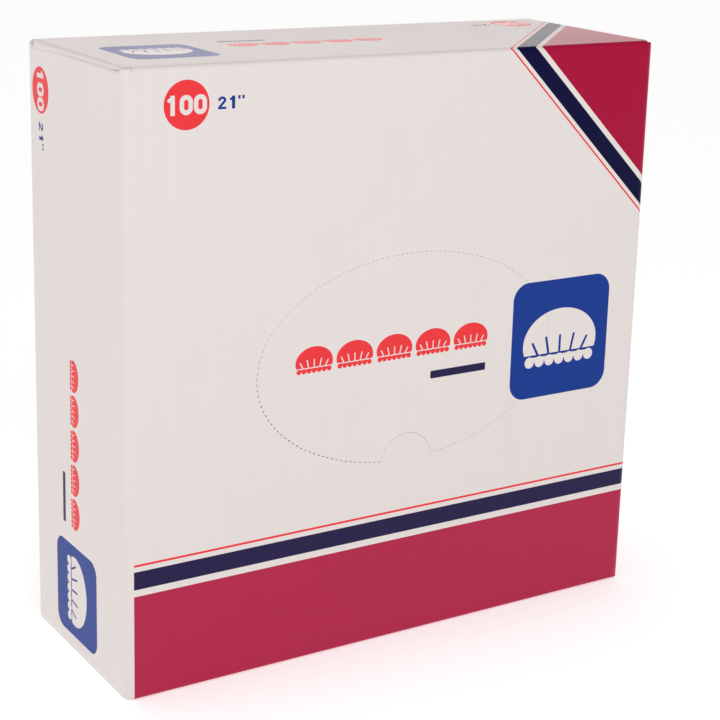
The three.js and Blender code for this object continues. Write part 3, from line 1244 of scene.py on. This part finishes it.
class CARTON_OT_glue_lap(Operator):
    """Finish the glued lap inside the back panel"""
    bl_idname = "carton.glue_lap"
    bl_label = "Glue lap"

    def execute(self, context):
        low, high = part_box("glue_lap")
        chamfer = 10 * MM
        outline = corners((low.x, low.z + chamfer), (high.x, low.z), (high.x, high.z),
                          (low.x, high.z - chamfer))

        def place(x, y, depth):
            return Vector((x, high.y - depth, y))

        piece = board_mesh("glue_lap_board", outline, place, even(low.x, high.x, sizes().grid),
                           even(low.z, high.z, sizes().grid))
        finish_board(piece, inner_liner("inner_liner"))
        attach(piece, "box")
        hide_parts("glue_lap")
        return {"FINISHED"}


class CARTON_OT_stage(Operator):
    """Set the camera, the pale floor and the soft studio light"""
    bl_idname = "carton.stage"
    bl_label = "Stage"

    def execute(self, context):
        settings = context.scene.carton_stage
        make_camera(context, settings)
        make_floor(context, settings)
        make_lights(context, settings)
        return {"FINISHED"}


def make_camera(context, settings):
    azimuth, elevation, roll = settings.azimuth, settings.elevation, settings.roll
    forward = Vector((-math.sin(azimuth) * math.cos(elevation), math.cos(azimuth) * math.cos(elevation),
                      -math.sin(elevation)))
    level = Vector((math.cos(azimuth), math.sin(azimuth), 0))
    right = level * math.cos(roll) + level.cross(forward) * math.sin(roll)
    up = right.cross(forward)
    camera = bpy.data.objects.new("view_camera", bpy.data.cameras.new("view_camera"))
    context.scene.collection.objects.link(camera)
    turn = Matrix((right, up, -forward)).transposed().to_4x4()
    camera.matrix_world = Matrix.Translation(settings.eye) @ turn
    camera.data.sensor_width = 36.0
    camera.data.lens = settings.lens
    camera.data.shift_x = settings.shift_x
    camera.data.shift_y = settings.shift_y
    camera.data.clip_start = 0.05
    camera.data.clip_end = 50.0
    context.scene.camera = camera


def make_floor(context, settings):
    work = bmesh.new()
    bmesh.ops.create_circle(work, cap_ends=True, radius=6.0, segments=96)
    mesh = bpy.data.meshes.new("floor")
    work.to_mesh(mesh)
    work.free()
    floor = bpy.data.objects.new("floor", mesh)
    floor.location.z = -0.3 * MM
    context.scene.collection.objects.link(floor)
    surface = Surface("pale_floor")
    surface.show(surface.value("ShaderNodeBsdfPrincipled", {}, {
        "Base Color": (0.91, 0.92, 0.92, 1.0), "Roughness": 0.85,
        "Emission Color": (0.97, 1.0, 1.0, 1.0), "Emission Strength": settings.floor_glow}))
    mesh.materials.append(surface.material)


def make_lights(context, settings):
    world = bpy.data.worlds.new("studio")
    context.scene.world = world
    world.use_nodes = True
    sky = Shading(world.node_tree)
    direction = sky.node("ShaderNodeTexCoord")
    split = sky.node("ShaderNodeSeparateXYZ", {}, {0: Signal(sky, direction.outputs["Generated"])})
    x, y, z = (Signal(sky, socket) for socket in split.outputs)
    low = 1 - z.held()
    backdrop = low ** 3 * y.held() * settings.backdrop
    level = backdrop + abs(x) * settings.sides + z.held() * settings.overhead + settings.ambient
    background = sky.value("ShaderNodeBackground", {}, {"Color": sky.shaded((1.0, 0.955, 0.95), level)})
    sky.node("ShaderNodeOutputWorld", {}, {"Surface": background})
    light = bpy.data.lights.new("front_softbox", "AREA")
    light.shape = "SQUARE"
    light.size = 0.6
    light.energy = settings.key_power
    lamp = bpy.data.objects.new("front_softbox", light)
    lamp.location = (-0.35, -0.95, 0.85)
    lamp.rotation_mode = "QUATERNION"
    lamp.rotation_quaternion = (Vector((0, 0, 0.2)) - lamp.location).to_track_quat("-Z", "Y")
    context.scene.collection.objects.link(lamp)
    context.scene.view_settings.view_transform = "Standard"


class CARTON_PT_panel(Panel):
    """Lists the carton's pieces, sizes and colours in the sidebar"""
    bl_idname = "CARTON_PT_panel"
    bl_label = "Carton"
    bl_space_type = "VIEW_3D"
    bl_region_type = "UI"
    bl_category = "Carton"

    def draw(self, context):
        layout = self.layout
        for operator in OPERATORS:
            layout.operator(operator.bl_idname)
        for group in (context.scene.carton_sizes, context.scene.carton_colours,
                      context.scene.carton_stage):
            box = layout.box()
            for name in group.__annotations__:
                box.prop(group, name)


OPERATORS = (CARTON_OT_stage, CARTON_OT_sleeve, CARTON_OT_window_panel, CARTON_OT_lid,
             CARTON_OT_dust_flaps, CARTON_OT_bottom, CARTON_OT_glue_lap)
GROUPS = {"carton_sizes": CartonSizes, "carton_colours": CartonColours, "carton_stage": StageSettings}


def register():
    for group in GROUPS.values():
        bpy.utils.register_class(group)
    for name, group in GROUPS.items():
        setattr(bpy.types.Scene, name, PointerProperty(type=group))
    for item in (*OPERATORS, CARTON_PT_panel):
        bpy.utils.register_class(item)


def unregister():
    for item in reversed((*OPERATORS, CARTON_PT_panel)):
        bpy.utils.unregister_class(item)
    for name in GROUPS:
        delattr(bpy.types.Scene, name)
    for group in reversed(GROUPS.values()):
        bpy.utils.unregister_class(group)


def main():
    register()
    for operator in OPERATORS:
        group, name = operator.bl_idname.split(".")
        getattr(getattr(bpy.ops, group), name)()


if __name__ == "__main__":
    main()
